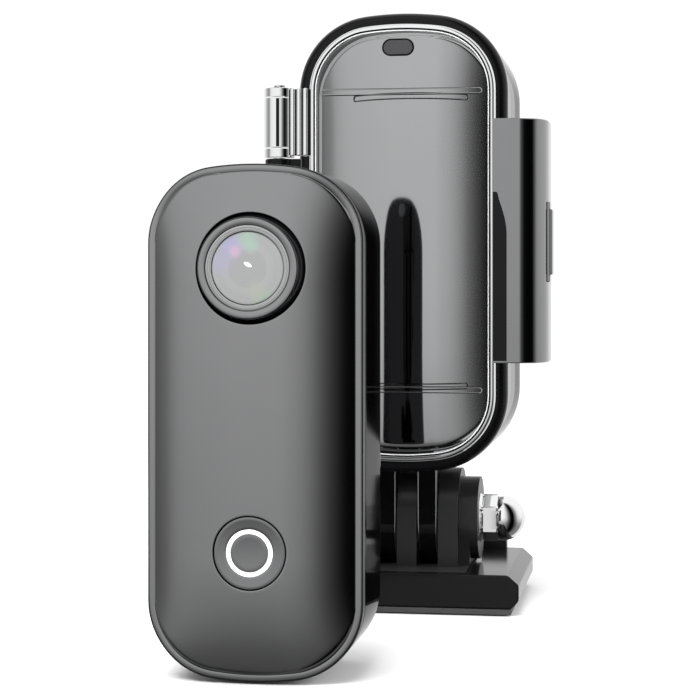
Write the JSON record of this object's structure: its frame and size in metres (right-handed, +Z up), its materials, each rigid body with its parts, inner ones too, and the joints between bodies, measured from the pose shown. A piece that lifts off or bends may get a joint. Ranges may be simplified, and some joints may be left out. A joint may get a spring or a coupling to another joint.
{
  "type": "action camera",
  "caption": "Thumb-size action camera with a round lens and lit shutter button, beside a clear hinged dive case holding its twin on a tilting three-prong mount.",
  "frame": {"origin": "centre of the adhesive pad's underside, on the floor under the tilt axis", "axes": "+X to the right seen from the bare camera's front, +Y from the bare camera towards the case, +Z up"},
  "size_m": [0.0456, 0.0897, 0.0873],
  "materials": {
    "satin_gray": "satin metallic gray",
    "gloss_gray": "high gloss gray",
    "matte_gray": "satin gray",
    "black_seal": "matte",
    "lens_black": "satin black",
    "trim_metal": "brushed",
    "lens_glass": "coated",
    "sensor_blue": "polished",
    "circuit_board": "solder mask",
    "chip_black": "matte",
    "copper": "satin",
    "chassis": "satin",
    "battery_wrap": "wrap",
    "nickel": "satin nickel",
    "brass_can": "satin",
    "dark_window": "gloss",
    "button_gray": "satin",
    "light_ring": "translucent white",
    "clear_case": "clear polycarbonate",
    "gloss_black": "high gloss",
    "port_glass": "optical",
    "plunger_silver": "satin",
    "latch_gray": "high gloss",
    "pad_foam": "foam tape",
    "satin_black": "satin moulded",
    "chrome": "polished",
    "steel": "turned"
  },
  "bodies": {
    "base": {"mount_base": "satin_black", "adhesive_pad": "pad_foam"},
    "buckle": {"buckle": "satin_black", "acorn_nut": "chrome"},
    "clamp_screw": {"thumb_screw": "steel", "thumb_knob": "satin_black"},
    "dive_case": {"case_front_shell": "clear_case", "case_frame": "gloss_black", "door_seal": "black_seal", "cradle_pad": "black_seal", "hinge_pin": "nickel", "latch_pin": "nickel", "port_ring": "gloss_black", "port_glass": "port_glass", "plunger_spring": "nickel", "housed_front_cover": "satin_gray", "housed_rear_cover": "matte_gray", "housed_lens_ring": "lens_black", "housed_glass": "lens_glass", "housed_button": "button_gray", "housed_rear_window": "dark_window"},
    "case_door": {"case_door": "clear_case"},
    "latch": {"latch_lever": "latch_gray"},
    "latch_slider": {"latch_lock": "latch_gray"},
    "plunger": {"shutter_plunger": "plunger_silver", "plunger_clip": "nickel"},
    "camera": {"front_cover": "satin_gray", "rear_cover": "gloss_gray", "seam_gasket": "black_seal", "lens_ring": "lens_black", "lens_trim_ring": "trim_metal", "lens_cover_glass": "lens_glass", "lens_barrel": "lens_black", "lens_element_front": "lens_glass", "lens_element_rear": "lens_glass", "lens_holder": "lens_black", "image_sensor": "sensor_blue", "sensor_board": "circuit_board", "main_board": "circuit_board", "processor_chip": "chip_black", "heat_spreader": "copper", "inner_frame": "chassis", "battery": "battery_wrap", "back_magnet_lower": "nickel", "back_magnet_upper": "nickel", "speaker": "chip_black", "microphone": "brass_can", "rear_window": "dark_window", "button_switch": "nickel", "usb_port": "nickel", "card_slot": "nickel", "port_cover_pin": "nickel"},
    "shutter": {"shutter_button": "button_gray", "button_light_ring": "light_ring"},
    "port_flap": {"port_cover": "gloss_gray"}
  },
  "joints": [
    {"name": "buckle_slide", "type": "slide", "parent": "base", "child": "buckle", "axis": [0, 1, 0], "range_m": [0, 0.03]},
    {"name": "clamp_screw_turn", "type": "hinge", "parent": "buckle", "child": "clamp_screw", "pos_m": [0, 0, 0.01225], "axis": [1, 0, 0], "continuous": true},
    {"name": "case_tilt", "type": "hinge", "parent": "buckle", "child": "dive_case", "pos_m": [0, 0, 0.01225], "axis": [-1, 0, 0], "range_deg": [-20, 40]},
    {"name": "door_hinge", "type": "hinge", "parent": "dive_case", "child": "case_door", "pos_m": [-0.01835, -0.012, 0.0535], "axis": [0, 0, -1], "range_deg": [0, 115]},
    {"name": "latch_hinge", "type": "hinge", "parent": "dive_case", "child": "latch", "pos_m": [0.0182, -0.005, 0.0538], "axis": [0, 0, 1], "range_deg": [0, 95]},
    {"name": "latch_slider_slide", "type": "slide", "parent": "latch", "child": "latch_slider", "axis": [0, 0, -1], "range_m": [0, 0.0044]},
    {"name": "plunger_press", "type": "slide", "parent": "dive_case", "child": "plunger", "axis": [0, -1, 0], "range_m": [0, 0.0011], "stiffness_N_per_m": 900},
    {"name": "camera_lift", "type": "slide", "parent": "base", "child": "camera", "axis": [0, 0, 1], "range_m": [0, 0.09]},
    {"name": "shutter_press", "type": "slide", "parent": "camera", "child": "shutter", "axis": [0, 1, 0], "range_m": [0, 0.0004], "stiffness_N_per_m": 2000},
    {"name": "port_flap_hinge", "type": "hinge", "parent": "camera", "child": "port_flap", "pos_m": [-0.0231, -0.05865, 0.0325], "axis": [0, 0, -1], "range_deg": [0, 100]}
  ]
}
